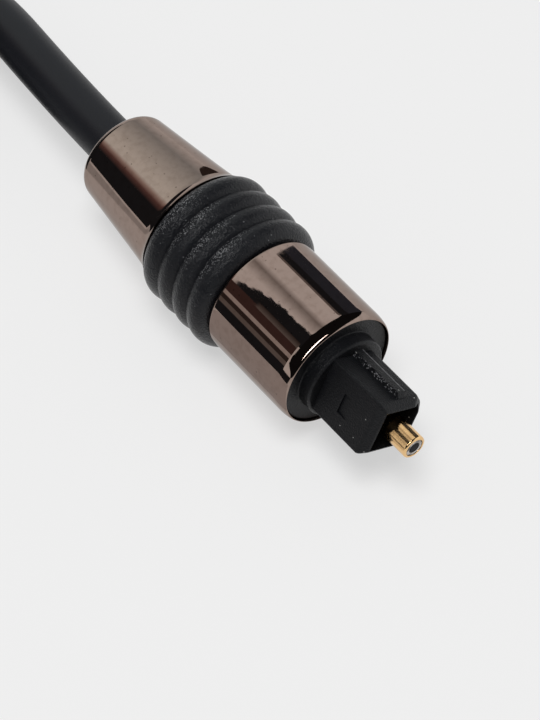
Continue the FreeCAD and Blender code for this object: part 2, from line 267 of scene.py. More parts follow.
# %% [markdown]
# ### Gilt metal
#
# The ferrule is plated with gold. It is smooth but not quite a mirror, and handling has left it
# slightly uneven in shine and tone.

# %% Gilt metal
gilt, tree, shader = start_finish("gilt_metal", (0.8, 0.52, 0.245), 0.2, 1.0)
marks = place_group(tree, smudge, Scale=900.0)["Mask"]
vary(tree, shader.inputs["Roughness"], marks, 0.15, 0.19)
tint(tree, shader.inputs["Base Color"], marks, (0.82, 0.54, 0.26), (0.78, 0.5, 0.235))

# %% [markdown]
# ### Grip rubber
#
# The grip is black moulded rubber. Its skin is grainy, so that a highlight on a rib breaks up into
# many small glints, and a pale powder sits on it. A bump from the grain makes the glints, and the
# dust group paints a few larger specks of powder anywhere. It also paints fine pale specks only where
# a rib faces one direction, where the highlight falls: a painted highlight of glints, not powder.

# %% Grip rubber
rubber, tree, shader = start_finish("grip_rubber", (0.01, 0.01, 0.012), 0.5, specular=0.22)
plain = add_skin(tree, shader, (5400.0, 160.0), ((0.006, 0.0064, 0.008), (0.011, 0.0117, 0.014)),
                 (0.17, 0.24), (1.0, 0.0001))
powder = place_group(tree, dust, Scale=3800.0, Size=0.4, Amount=0.03)["Mask"]
# fine pale specks, kept below to the ribs' lit side: a painted highlight of glints
highlight_glints = place_group(tree, dust, Scale=9500.0, Size=0.75, Amount=0.55)["Mask"]
facing = tree.nodes.new("ShaderNodeVectorMath")
facing.operation = "DOT_PRODUCT"
HIGHLIGHT_NORMAL = (-0.33, -0.42, 0.845)
facing.inputs[1].default_value = HIGHLIGHT_NORMAL
tree.links.new(add_node(tree, "ShaderNodeNewGeometry").outputs["Normal"], facing.inputs[0])
highlight_side = add_node(tree, "ShaderNodeMapRange", SOFT_STEP,
                  Value=facing.outputs["Value"], From_Min=0.84, From_Max=1.0).outputs["Result"]
base = shader.inputs["Base Color"]
plain = tint(tree, base, powder, plain, (0.08, 0.082, 0.086))
# painted glints on the side of each rib where the highlight falls
tint(tree, base, add_math(tree, "MULTIPLY", highlight_glints, highlight_side), plain, (0.17, 0.172, 0.178))

# %% [markdown]
# ### Moulded plastic
#
# The nose, the boss and the collar are one black moulding with a fine spark-eroded texture. A few
# specks of dust lie on it, paler and rarer than on the rubber. The guide ribs rub in the socket, so
# their flanks are scuffed. One edge of each rib, the one that faces the light, gets a pale even tone:
# a painted highlight. A mesh attribute says where: up to 1 it gives the scuffs' broken frost, and
# above 1 the painted highlight.

# %% Moulded plastic
moulding, tree, shader = start_finish("moulded_plastic", (0.007, 0.007, 0.008), 0.4, specular=0.2)
plain = add_skin(tree, shader, (6800.0, 220.0), ((0.003, 0.0032, 0.004), (0.0065, 0.007, 0.0085)),
                 (0.34, 0.44), (1.0, 0.00008))
specks = place_group(tree, dust, Scale=2600.0, Size=0.24, Amount=0.1)["Mask"]
base = shader.inputs["Base Color"]
plain = tint(tree, base, specks, plain, (0.3, 0.3, 0.29))
wear_and_highlight = add_node(tree, "ShaderNodeAttribute", (("attribute_name", "wear_and_highlight"),)).outputs["Fac"]
frost = place_group(tree, dust, Scale=8800.0, Size=0.75, Amount=0.48)["Mask"]
# up to 1: frost of the scuffs; above 1: a painted highlight on the edge that faces the light
flank, edge = add_math(tree, "MULTIPLY", wear_and_highlight, frost), add_math(tree, "SUBTRACT", wear_and_highlight, 1.0)
tint(tree, base, add_math(tree, "MAXIMUM", flank, edge), plain, (0.18, 0.18, 0.19))

# %% [markdown]
# ### Cable jacket
#
# The jacket is soft black plastic that was drawn through a die: smoother than the mouldings, with a
# satin sheen along its length.

# %% Cable jacket
jacket, tree, shader = start_finish("cable_jacket", (0.008, 0.008, 0.01), 0.42, specular=0.26)
add_skin(tree, shader, (5000.0, 90.0), ((0.006, 0.0065, 0.009), (0.011, 0.0117, 0.015)),
         (0.36, 0.46), (0.2, 0.00001))

# %% [markdown]
# ### Fibre and its white jacket
#
# The fibre's end is ground and polished: a dark disc in a white ring. The grain group gives each of
# them a change of tone, and on the ring large patches of it turn dark brown. The joint between them
# is dark, perhaps from glue. An attribute named glued marks it on the ring.

# %% Fibre and its white jacket
fibre, tree, shader = start_finish("fibre", (0.05, 0.05, 0.055), 0.2, specular=0.04)
tone = place_group(tree, grain, Patches=3000.0)["Tone"]
tint(tree, shader.inputs["Base Color"], tone, (0.006, 0.006, 0.008), (0.016, 0.016, 0.019))

white_jacket, tree, shader = start_finish("fibre_jacket", (0.75, 0.74, 0.72), 0.4)
base = shader.inputs["Base Color"]
tone = place_group(tree, grain, Patches=1100.0)["Tone"]
dark_patches = add_node(tree, "ShaderNodeMapRange", Value=tone, From_Min=0.42, From_Max=0.56)
plain = tint(tree, base, dark_patches.outputs["Result"], (0.05, 0.036, 0.026), (0.68, 0.63, 0.58))
glued = add_node(tree, "ShaderNodeAttribute", (("attribute_name", "glued"),)).outputs["Fac"]
tint(tree, base, glued, plain, (0.014, 0.013, 0.014))

# %% [markdown]
# ### Woven strap
#
# The tie is a strip of black woven tape. Two crossed waves give the threads of a plain weave: where
# one thread is up, the other is down. The same height drives the bump and the tone.

# %% Woven strap
strap_cloth, tree, shader = start_finish("woven_strap", (0.016, 0.016, 0.018), 0.8)
spot = add_node(tree, "ShaderNodeTexCoord").outputs["Object"]
threads = [
    add_node(tree, "ShaderNodeTexWave", (("bands_direction", way),),
             Vector=spot, Scale=260.0, Distortion=0.4)
    for way in ("X", "Y")
]
weave = add_math(tree, "MULTIPLY", threads[0].outputs["Fac"], threads[1].outputs["Fac"])
tint(tree, shader.inputs["Base Color"], weave, (0.008, 0.008, 0.009), (0.032, 0.032, 0.036))
roughen(tree, shader, weave, 0.8, 0.00015)

# %% [markdown]
# ## Turned pieces
#
# Sleeves, grip, collar and ferrule are all round, so each one is an outline spun about the axis, as
# on a lathe. bmesh.ops.spin does that in one step. Real edges are never sharp: a helper replaces
# each corner of an outline by an arc, which catches the light as a real edge does.

# %% Helpers for turned pieces


def rounded(corners, steps=6):
    """A closed outline from corners of station, radius and rounding, each rounded one made an arc."""
    outline = []
    for k, (station, radius, rounding) in enumerate(corners):
        corner = Vector((station, radius))
        if rounding == 0:
            outline.append(corner)
            continue
        back = (Vector(corners[k - 1][:2]) - corner).normalized()
        onward = (Vector(corners[(k + 1) % len(corners)][:2]) - corner).normalized()
        half = back.angle(onward) / 2
        centre = corner + (back + onward).normalized() * rounding / math.sin(half)
        start = corner + back * rounding / math.tan(half) - centre
        end = corner + onward * rounding / math.tan(half) - centre
        sweep = -start.angle_signed(end)
        outline += [centre + Matrix.Rotation(sweep * s / steps, 2) @ start for s in range(steps + 1)]
    return outline


def closed_mesh(shape, name):
    """Makes a mesh of a bmesh, with all its faces looking outwards."""
    bmesh.ops.recalc_face_normals(shape, faces=shape.faces)
    mesh = bpy.data.meshes.new(name)
    shape.to_mesh(mesh)
    shape.free()
    return mesh


def turned(name, outline, segments=180):
    """A closed mesh: an outline of stations and radii spun about the plug's axis."""
    shape = bmesh.new()
    line = [shape.verts.new((station, radius, 0)) for station, radius in outline]
    edges = [shape.edges.new(pair) for pair in zip(line, line[1:] + line[:1])]
    bmesh.ops.spin(shape, geom=line + edges, cent=(0, 0, 0), axis=(1, 0, 0), angle=math.tau,
                   steps=segments, use_merge=True)
    bmesh.ops.remove_doubles(shape, verts=shape.verts, dist=1e-4)
    bmesh.ops.dissolve_degenerate(shape, edges=shape.edges, dist=1e-5)
    return closed_mesh(shape, name)


# %% [markdown]
# ### From a mesh to a piece
#
# In smooth shading a flat face beside a small round edge looks bent, so the larger face is made to set
# the shading at their common points. The mesh then goes to its place and gets its finish and its
# body, and the CAD part that it stands for is hidden.

# %% Helpers that make pieces
SHARP = math.radians(35)


def add_object(name, data):
    """A new object in the scene."""
    made = bpy.data.objects.new(name, data)
    scene.collection.objects.link(made)
    return made


def applied(body):
    """The mesh of an object with its modifiers applied."""
    return bpy.data.meshes.new_from_object(body.evaluated_get(bpy.context.evaluated_depsgraph_get()))


def level_faces(mesh, name):
    """Smooth shading with the corners kept, set by the larger face where two meet."""
    mesh.shade_smooth()
    mesh.set_sharp_from_angle(angle=SHARP)
    body = add_object("level", mesh)
    body.modifiers.new("level", "WEIGHTED_NORMAL").keep_sharp = True
    result = applied(body)
    bpy.data.objects.remove(body)
    bpy.data.meshes.remove(mesh)
    result.name = name
    return result


def add_piece(name, mesh, place, finish, node=None):
    """Puts a mesh in the part's frame as a piece with its finish, and hides the CAD node it stands for.
    """
    mesh = level_faces(mesh, name)
    mesh.transform(place)
    mesh.materials.append(finish)
    piece = add_object(name, mesh)
    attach(piece, "root")
    if node:
        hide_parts(node)
    print(f"{name}: {len(mesh.polygons)} faces")
    return piece


far_pieces = []


def add_to_plugs(name, make_mesh, finish, node, far_node=True):
    """Adds a piece to both plugs; the far plug's pieces are listed, because they hang on the cable."""
    for end, prefix, place in PLUGS:
        full_name = f"{end}_{name}"
        stands_for = prefix + node if far_node or end == "near" else None
        piece = add_piece(full_name, make_mesh(full_name), place, finish, stands_for)
        if end == "far":
            far_pieces.append(piece)


# %% [markdown]
# ### Rear sleeve
#
# A slim cone with a well rounded rear rim. Towards the grip it opens in a flare, and its edge curls
# up against the rubber. Flare and curl are curves, and polished metal shows every flat, so both are
# drawn through many stations.

# %% Rear sleeve
BORE, STEPS = 4.23, 16
REAR_WALL, REAR_HOLE, REAR_RADIUS, REAR_ROUND = 0.45, 3.7, 4.95, 1.25
FLARE, FLARE_RADIUS, SLOPE, BEND = 8.1, 5.83, 0.1086, 0.0035
CURL, CURL_ROUND, CURL_START, CURL_STEP = 11.9, 2.2, 9, 1.85


def flare_point(station):
    """A point of the flare, which opens more and more from the cone's slope."""
    away = station - FLARE
    return station, FLARE_RADIUS + SLOPE * away + BEND * away ** 2, 0


def curl_point(angle):
    """A point of the curled edge, where the metal turns up against the grip."""
    first = math.atan(SLOPE + 2 * BEND * (CURL - FLARE))
    station, radius, _ = flare_point(CURL)
    return (station + CURL_ROUND * (math.sin(angle) - math.sin(first)),
            radius + CURL_ROUND * (math.cos(first) - math.cos(angle)), 0)


flare = [flare_point(FLARE + (CURL - FLARE) * k / STEPS) for k in range(STEPS + 1)]
curl = [curl_point(math.radians(CURL_START + CURL_STEP * k)) for k in range(STEPS + 1)]
rear_outline = rounded((
    (REAR_WALL, BORE, 0), (REAR_WALL, REAR_HOLE, 0), (0.0, REAR_HOLE, 0.1),
    (0.0, REAR_RADIUS, REAR_ROUND), *flare, *curl, (GRIP, BORE, 0)))
add_to_plugs("rear_cone", lambda name: turned(name, rear_outline), gunmetal,
             "rear_sleeve")

# %% [markdown]
# ### Grip
#
# A rubber ring with four round ribs. Every rib is an arc of the same circle, with a crease where two
# arcs meet, so the outline is four arcs joined end to end. The mould's halves met along the sides
# and left a fine seam there.

# %% Grip
RIB_TOP, RIB_ROUND, RIB_PITCH = 7.4, 1.5, 2.3
CRESTS = [GRIP + RIB_ROUND + RIB_PITCH * k for k in range(4)]
SEAM_ANGLES, SEAM_HALF, SEAM_RISE = (174, -6), 1, 0.04


def rib_arc(crest, start, end):
    """Points of one rib, an arc round a centre below its crest, between two angles from the crest."""
    angles = [start + (end - start) * k / STEPS for k in range(STEPS + 1)]
    centre = RIB_TOP - RIB_ROUND
    return [Vector((crest + RIB_ROUND * math.sin(a), centre + RIB_ROUND * math.cos(a)))
            for a in angles]


crease = math.asin(RIB_PITCH / 2 / RIB_ROUND)
grip_outline = [Vector((GRIP, BORE))]
for k, crest in enumerate(CRESTS):
    start = -math.pi / 2 if k == 0 else -crease
    end = math.pi / 2 if k == len(CRESTS) - 1 else crease
    grip_outline += rib_arc(crest, start, end)
grip_outline.append(Vector((SLEEVE, BORE)))


def grip_mesh(name):
    """The spun grip, with a fine raised seam along each side where the mould's halves met."""
    mesh = turned(name, grip_outline)
    for vertex in mesh.vertices:
        radius = math.hypot(vertex.co.y, vertex.co.z)
        angle = math.degrees(math.atan2(vertex.co.z, vertex.co.y))
        near_seam = min(abs(angle - seam) for seam in SEAM_ANGLES) < SEAM_HALF
        if radius > RIB_TOP - RIB_ROUND and near_seam:
            vertex.co.yz *= 1 + SEAM_RISE / radius
    return mesh


add_to_plugs("rib_grip", grip_mesh, rubber, "grip_ring")

# %% [markdown]
# ### Front sleeve
#
# A plain polished tube. Its rear edge is rounded. Its front lip turns in along a quarter of an
# ellipse, and it is thin and stands a little proud of the collar inside it.

# %% Front sleeve
TUBE_RADIUS, TUBE_ROUND, MOUTH_RADIUS, LIP_LENGTH = 6.45, 0.5, 6.13, 1.5


def lip_point(angle):
    """A point of the lip's curve, a quarter of an ellipse from the tube's outside to its front edge."""
    return Vector((LIP - LIP_LENGTH * (1 - math.sin(angle)),
                   MOUTH_RADIUS + (TUBE_RADIUS - MOUTH_RADIUS) * math.cos(angle)))


lip_curve = [lip_point(math.pi / 2 * k / STEPS) for k in range(STEPS + 1)]
sleeve_outline = rounded((
    (SLEEVE, BORE, 0), (SLEEVE, TUBE_RADIUS, TUBE_ROUND), *((*point, 0) for point in lip_curve),
    (SEAT, MOUTH_RADIUS, 0), (SEAT, BORE, 0)))
add_to_plugs("front_tube", lambda name: turned(name, sleeve_outline), gunmetal,
             "front_sleeve")

# %% [markdown]
# ### Moulded body
#
# Collar, boss and barrel are turned, and the nose is a box with smaller boxes added and cut away.
# Boolean modifiers are the quickest way to combine boxes. A bevel then rounds every hard edge, as a
# mould does.

# %% Helpers for the nose


def add_walls(shape, rings):
    """Walls between rings of points that follow each other."""
    for low, high in zip(rings, rings[1:]):
        for k in range(len(low)):
            following = (k + 1) % len(low)
            shape.faces.new((low[k], low[following], high[following], high[k]))


def prism(name, sections):
    """A closed mesh through sections, each a station and its corners across the plug."""
    shape = bmesh.new()
    rings = [[shape.verts.new((station, y, z)) for y, z in corners] for station, corners in sections]
    add_walls(shape, rings)
    shape.faces.new(rings[0][::-1])
    shape.faces.new(rings[-1])
    return closed_mesh(shape, name)


def rectangle(low_y, high_y, half_z):
    """Corners of a rectangle across the plug."""
    return ((low_y, -half_z), (high_y, -half_z), (high_y, half_z), (low_y, half_z))


def combined(base, steps):
    """The base mesh after Boolean steps, each an operation and a mesh."""
    body = add_object("combined", base)
    helpers = [body]
    for operation, mesh in steps:
        helpers.append(add_object("helper", mesh))
        modifier = body.modifiers.new(operation, "BOOLEAN")
        modifier.operation = operation
        modifier.object = helpers[-1]
        modifier.solver = "EXACT"
    result = applied(body)
    for helper in helpers:
        bpy.data.objects.remove(helper)
    return result


def soften_edges(mesh, width, least_turn=20):
    """Rounds every edge that turns by more than a number of degrees."""
    shape = bmesh.new()
    shape.from_mesh(mesh)
    bmesh.ops.remove_doubles(shape, verts=shape.verts, dist=1e-4)
    turn = math.radians(least_turn)
    hard = [e for e in shape.edges if len(e.link_faces) == 2 and e.calc_face_angle() > turn]
    bmesh.ops.bevel(shape, geom=hard, offset=width, segments=4, profile=0.5, affect="EDGES",
                    clamp_overlap=True)
    shape.to_mesh(mesh)
    shape.free()
    return mesh


# %% [markdown]
# ### Nose
#
# The nose goes into a keyed square well: two of its corners are cut off, and a guide rib runs along it
# above and below. The block gets its larger rounding first. Ribs, hollow and a lock recess with a
# sloping floor follow, then a fine rounding over all of it, and the marks for the scuffed flanks and
# for a painted highlight on one edge.

# %% Nose
NOSE_HALF, KEY, HOLLOW_HALF, NOSE_ROOT = 3.05, 1.0, 2.275, BOSS - 0.3
RIM_LENGTH, RIM_BEVEL, BLOCK_ROUND, FINE_ROUND = 0.75, 0.65, 0.2, 0.09
GUIDE_TOP, GUIDE_FOOT, GUIDE_BASE, GUIDE_HEIGHT = 0.52, 0.6, 2.5, 0.54
GUIDE_END, GUIDE_RUN, GUIDE_LOW = 0.8, 0.4, 0.1
# the width and depth shape a chamfer; the last number marks the painted highlight on it
RUBBED_WIDTH, RUBBED_DEPTH, EDGE_HIGHLIGHT = 0.2, 0.06, 1.4
LOCK_BACK, LOCK_LENGTH, LOCK_HALF, LOCK_DEPTH, OUTSIDE = 4.7, 1.5, 1.1, 0.2, 4


def nose_section(inset):
    """The nose across the plug: a square with two cut corners."""
    e = NOSE_HALF - inset
    return ((-e, -e), (e - KEY, -e), (e, KEY - e), (e, e - KEY), (e - KEY, e), (-e, e))


def guide_section(side, height):
    """A guide rib across the plug: a foot inside the nose, sloping flanks, a top with a rubbed edge."""
    foot, base, top = side * GUIDE_BASE, side * NOSE_HALF, side * (NOSE_HALF + height)
    return ((-GUIDE_FOOT, foot), (GUIDE_FOOT, foot), (GUIDE_FOOT, base),
            (GUIDE_TOP, top - side * RUBBED_DEPTH), (GUIDE_TOP - RUBBED_WIDTH, top),
            (-GUIDE_TOP, top), (-GUIDE_FOOT, base))


def mark_wear_and_highlight(mesh):
    """Marks the flanks of the guide ribs as scuffed, and the edge of each that faces the light for a
    painted highlight.
    """
    wear_and_highlight = mesh.attributes.new("wear_and_highlight", "FLOAT", "FACE")
    for face in mesh.polygons:
        nx, ny, nz = face.normal
        on_guide = abs(face.center.z) > NOSE_HALF + 0.2 and abs(nz) < 0.98 and abs(nx) < 0.3
        # the edge that faces the light gets a mark above 1, which the finish paints as a highlight
        on_lit_edge = on_guide and ny > 0.15 and abs(nz) > 0.3
        wear_and_highlight.data[face.index].value = EDGE_HIGHLIGHT if on_lit_edge else float(on_guide)


def nose_mesh(name):
    """The nose with its guide ribs, hollow and lock recess."""
    block = prism("block", ((NOSE_ROOT, nose_section(0)), (RIM - RIM_LENGTH, nose_section(0)),
                            (RIM, nose_section(RIM_BEVEL))))
    soften_edges(block, BLOCK_ROUND)
    guides = [prism("guide", ((NOSE_ROOT, guide_section(side, GUIDE_HEIGHT)),
                              (RIM - GUIDE_END - GUIDE_RUN, guide_section(side, GUIDE_HEIGHT)),
                              (RIM - GUIDE_END, guide_section(side, GUIDE_LOW))))
              for side in (1, -1)]
    square = rectangle(-HOLLOW_HALF, HOLLOW_HALF, HOLLOW_HALF)
    hollow = prism("hollow", ((HOLLOW, square), (TIP, square)))
    lock_start = RIM - LOCK_BACK
    lock = prism("lock", (
        (lock_start, rectangle(-OUTSIDE, LOCK_DEPTH - NOSE_HALF, LOCK_HALF)),
        (lock_start + LOCK_LENGTH, rectangle(-OUTSIDE, -NOSE_HALF, LOCK_HALF))))
    steps = [("UNION", guides[0]), ("UNION", guides[1]), ("DIFFERENCE", hollow), ("DIFFERENCE", lock)]
    mesh = soften_edges(combined(block, steps), FINE_ROUND, 40)
    mesh.name = name
    mark_wear_and_highlight(mesh)
    return mesh


add_to_plugs("nose", nose_mesh, moulding, "plug_body")

# %% [markdown]
# ### Collar, boss and barrel
#
# The collar closes the front sleeve's mouth, the boss carries the nose, and the barrel runs back under
# sleeves and grip, with a bore for the cable. All of it is round, so it is one outline.

# %% Collar, boss and barrel
BARREL_END, BARREL_RADIUS, COLLAR_RADIUS, BOSS_RADIUS = 0.5, 4.2, 6.07, 4.46
CABLE_STOP, CABLE_BORE, FIBRE_BORE, FRONT_BORE = 9.8, 2.63, 0.96, 1.3
collar_outline = rounded((
    (CABLE_STOP, FIBRE_BORE, 0), (CABLE_STOP, CABLE_BORE, 0),
    (BARREL_END, CABLE_BORE, 0.1), (BARREL_END, BARREL_RADIUS, 0.2), (SEAT, BARREL_RADIUS, 0),
    (SEAT, COLLAR_RADIUS, 0), (COLLAR, COLLAR_RADIUS, 0.15), (COLLAR, BOSS_RADIUS, 0.15),
    (BOSS, BOSS_RADIUS, 0.28), (BOSS, FRONT_BORE, 0), (HOLLOW, FRONT_BORE, 0), (HOLLOW, FIBRE_BORE, 0)))
add_to_plugs("collar", lambda name: turned(name, collar_outline), moulding, "plug_body")

# %% [markdown]
# ### Ferrule and fibre
#
# A gilt tube stands in the hollow nose and carries the fibre to the tip: a white ring of inner
# jacket and the dark fibre in its middle, both a hair below the tube's end. Pieces as small as these
# need fewer steps round the axis.

# %% Ferrule and fibre
FEW, FIBRE_TIP = 96, TIP - 0.05
TUBE_OUTER, TUBE_INNER = 1.25, 0.955
RING_OUTER, RING_INNER, GLUE_RADIUS, CORE_RADIUS = 0.925, 0.53, 0.63, 0.5
ferrule_outline = rounded((
    (HOLLOW, TUBE_INNER, 0), (HOLLOW, TUBE_OUTER, 0), (TIP, TUBE_OUTER, 0.2), (TIP, TUBE_INNER, 0.04)))
ring_outline = rounded((
    (HOLLOW, RING_INNER, 0), (HOLLOW, RING_OUTER, 0), (FIBRE_TIP, RING_OUTER, 0.05),
    (FIBRE_TIP, GLUE_RADIUS, 0), (FIBRE_TIP, RING_INNER, 0.03)))
core_outline = rounded((
    (HOLLOW, 0, 0), (HOLLOW, CORE_RADIUS, 0), (FIBRE_TIP, CORE_RADIUS, 0.06), (FIBRE_TIP + 0.01, 0, 0)))


def ring_mesh(name):
    """The spun ring, with a mark on the faces beside the fibre, where the joint is dark."""
    mesh = turned(name, ring_outline, FEW)
    glued = mesh.attributes.new("glued", "FLOAT", "FACE")
    for face in mesh.polygons:
        glued.data[face.index].value = float(math.hypot(face.center.y, face.center.z) < GLUE_RADIUS)
    return mesh


add_to_plugs("ferrule_tube", lambda name: turned(name, ferrule_outline, FEW), gilt,
             "ferrule")
add_to_plugs("fibre_ring", ring_mesh, white_jacket, "fibre_buffer", far_node=False)
add_to_plugs("fibre_end", lambda name: turned(name, core_outline, FEW), fibre,
             "fibre_core", far_node=False)

# %% [markdown]
# ## The cable
#
# The cable is one curve, 1.5 m long: straight out of the plug, down to the table, five and a half
# turns round two folds, and into the far plug. A NURBS curve stays smooth between its points, so a
# few points along each lead and 22 in each turn are enough. The turns lie three beside each other in
# two layers. Each turn changes its place in the stack on the front fold, at an angle of its own, so
# that no two change at one spot.

# %% Turns of the hank
FRONT_X, OUTER, MIDST, LOW = -64.0, 26.0, 20.8, 3.4
STACK = ((OUTER, LOW), (OUTER, HIGH), (MIDST, HIGH), (MIDST, LOW), (INNER, LOW), (INNER, HIGH))
CHANGES = ((10, 50), (-25, 10), (-60, -25), (-90, -60), (-150, -100))
FOLD_STEPS, FOLD_TURN, SET_OUT = 8, 22.5, 1.01
STRAIGHT, DEGREES_PER_MM = (-68.0, -96.0, -124.0), 1.5


def ease(share):
    """A share held to 0 and 1, with soft ends."""
    share = min(max(share, 0.0), 1.0)
    return share * share * (3 - 2 * share)


def fold_point(x, radius, height, angle):
    """A point of a fold, set out a little, because the curve runs inside its points on a bend."""
    turn = math.radians(angle)
    return (Vector((x, MIDDLE_Y, height))
            + SET_OUT * radius * Vector((math.cos(turn), math.sin(turn), 0)))


def turn_points(place, next_place, change):
    """The points of one turn, which moves from its place in the stack to the next one."""
    def moved(angle):
        """The radius and height at an angle of the front fold."""
        share = ease((angle - change[0]) / (change[1] - change[0]))
        return (a + (b - a) * share for a, b in zip(place, next_place))

    points = [Vector((x, MIDDLE_Y + place[0], place[1])) for x in STRAIGHT]
    for k in range(FOLD_STEPS):
        points.append(fold_point(REAR_X, *place, 90 + FOLD_TURN * (k + 0.5)))
    for x in STRAIGHT[::-1]:
        radius, height = moved((x - FRONT_X) * DEGREES_PER_MM - 90)
        points.append(Vector((x, MIDDLE_Y - radius, height)))
    for k in range(FOLD_STEPS):
        angle = -90 + FOLD_TURN * (k + 0.5)
        points.append(fold_point(FRONT_X, *moved(angle), angle))
    return points


hank_points = []
for place, next_place, change in zip(STACK, STACK[1:], CHANGES):
    hank_points += turn_points(place, next_place, change)
print(len(hank_points), "points in the full turns")

# %% [markdown]
# ### The whole route
#
# The near lead starts inside the plug, keeps its height as far as it is seen and then sinks to the
# table. The far lead runs straight into the far plug. A round bevel makes the curve a cable.

# %% The whole route, and the cable along it
near_points = [Vector(p) for p in (
    (-14.0, 0.0, 7.4), (-22.0, 0.12, 7.4), (-30.0, 0.23, 7.4), (-38.0, 0.62, 7.3), (-46.0, 1.3, 6.9),
    (-54.0, 1.2, 5.6), (-61.0, 0.4, 4.2))]
NO_CHANGE = (500, 600)
last_half = turn_points(STACK[-1], STACK[-1], NO_CHANGE)[:len(STRAIGHT) + FOLD_STEPS]
far_points = [hank_exit + far_way * away for away in (0.0, 9.0, 17.0, 26.0, 31.0)]
route = near_points + hank_points + last_half + far_points

line = bpy.data.curves.new("cable", "CURVE")
line.dimensions = "3D"
line.bevel_depth = CABLE_RADIUS * MM
line.bevel_resolution = 10
line.use_fill_caps = True
spline = line.splines.new("NURBS")
spline.points.add(len(route) - 1)
for point, spot in zip(spline.points, route):
    point.co = (*(spot * MM), 1)
spline.order_u = 3
spline.use_endpoint_u = True
spline.resolution_u = 6
line.materials.append(jacket)
cable = add_object("cable", line)
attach(cable, "root")
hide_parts("near_lead", "hank", "far_lead")
print(len(route), "points in the cable's route")

# %% [markdown]
# ## The tie
#
# A strip of woven tape goes round the folded cable and ends in a tab. The tape bends round cables and
# not round edges, so its outline is a rectangle with rounded corners. A second, smaller outline
# gives it its thickness.

# %% Tape round the hank
TIE_START, TIE_END, TIE_SKIN, TIE_BEND = -116.0, -104.0, 0.8, 3.4
TIE_LOW_Y, TIE_HIGH_Y, TIE_TOP = -55.4, 3.4, 12.0


def tape_ring(inset):
    """The tape's outline across the hank, drawn in by an inset, corner arcs included."""
    bend = TIE_BEND - inset
    ring = []
    for corner_y, corner_z, start in ((TIE_HIGH_Y, TIE_TOP, 0), (TIE_LOW_Y, TIE_TOP, 90),
                                      (TIE_LOW_Y, 0, 180), (TIE_HIGH_Y, 0, 270)):
        middle_y = corner_y - math.copysign(TIE_BEND, corner_y - MIDDLE_Y)
        middle_z = corner_z - math.copysign(TIE_BEND, corner_z - TIE_TOP / 2)
        for k in range(9):
            angle = math.radians(start + 90 * k / 8)
            ring.append((middle_y + bend * math.cos(angle), middle_z + bend * math.sin(angle)))
    return ring


def tape_mesh(name):
    """The tape as a closed band with its two faces and its two edges."""
    shape = bmesh.new()
    edges = ((TIE_START, 0.0), (TIE_END, 0.0), (TIE_END, TIE_SKIN), (TIE_START, TIE_SKIN))
    rings = [[shape.verts.new((x, y, z)) for y, z in tape_ring(inset)] for x, inset in edges]
    add_walls(shape, rings + rings[:1])
    return soften_edges(closed_mesh(shape, name), 0.15)


to_metres = Matrix.Scale(MM, 4)
tape = add_piece("tie_band", tape_mesh("tie_band"), to_metres, strap_cloth, "cable_tie")

# %% [markdown]
# ### Tab
#
# The free end of the tape lies flat on the band. Its tip is cut round, so that it does not fray.

# %% Tab
TAB_FROM, TAB_TO, TAB_TIP, TAB_SINK, TAB_RISE = -34.0, -12.0, 4.0, 0.05, 0.75


def tab_mesh(name):
    """The tape's end, lying on the turn below it, with a rounded tip."""
    half, middle = (TIE_END - TIE_START) / 2, (TIE_START + TIE_END) / 2
    tip = [(TAB_TO + TAB_TIP * math.cos(a), half * math.sin(a))
           for a in (math.radians(-90 + 15 * k) for k in range(13))]
    outline = [(TAB_FROM, -half), *tip, (TAB_FROM, half)]
    shape = bmesh.new()
    faces = [[shape.verts.new((middle + across, y, z)) for y, across in outline]
             for z in (TIE_TOP - TAB_SINK, TIE_TOP + TAB_RISE)]
    add_walls(shape, faces)
    shape.faces.new(faces[0])
    shape.faces.new(faces[1])
    return soften_edges(closed_mesh(shape, name), 0.2)


tab = add_piece("tie_tab", tab_mesh("tie_tab"), to_metres, strap_cloth)

# %% [markdown]
# ### What the metal does not mirror
#
# The cable lies folded near the plug only for storage. So cable, tie and far plug are kept out of
# reflections, and the sleeves look as they do on a cable that is laid out.

# %% Keep the folded cable out of reflections
not_mirrored = (cable, tape, tab, *far_pieces)
for piece in not_mirrored:
    piece.visible_glossy = False
print(len(not_mirrored), "pieces not mirrored")

# %% [markdown]
# ### Pieces on the cable
#
# A cable bends, so the way it lies here is only one of many. This only prints how many pieces go with
# the cable.

# %% Count the pieces on the cable
print("cord with", 2 + len(far_pieces), "pieces on it")

# %% [markdown]
# ## Table, light and camera
#
# The table is a plain pale surface. Where it is seen, directly or mirrored, it also glows, so that it
# comes out evenly pale, and the part gets no extra light from it.

# %% Table
TABLE_SIZE, TABLE_SINK, GLOW, GLOW_SHARE = 2.4, 0.00002, 0.99, 0.55


def seen_rays(tree):
    """1 for rays that show something, directly or mirrored, and 0 for those that only bring light."""
    path = tree.nodes.new("ShaderNodeLightPath")
    seen = add_math(tree, "MAXIMUM", path.outputs["Is Camera Ray"], path.outputs["Is Glossy Ray"])
    return add_math(tree, "MAXIMUM", seen, path.outputs["Is Transmission Ray"])


bpy.ops.mesh.primitive_plane_add(size=TABLE_SIZE, location=(0, 0, -TABLE_SINK))
table = bpy.context.object
table.name = "table"
paper, tree, shader = start_finish("pale_paper", (0.72, 0.72, 0.72), 0.9, specular=0.0)
glow = add_node(tree, "ShaderNodeEmission", Color=(1, 1, 1, 1), Strength=GLOW)
share = add_math(tree, "MULTIPLY", seen_rays(tree), GLOW_SHARE)
blend = tree.nodes.new("ShaderNodeMixShader")
tree.links.new(share, blend.inputs["Fac"])
tree.links.new(shader.outputs["BSDF"], blend.inputs[1])
tree.links.new(glow.outputs["Emission"], blend.inputs[2])
tree.links.new(blend.outputs["Shader"], tree.nodes["Material Output"].inputs["Surface"])
table.data.materials.append(paper)
print("table", TABLE_SIZE, "m wide")

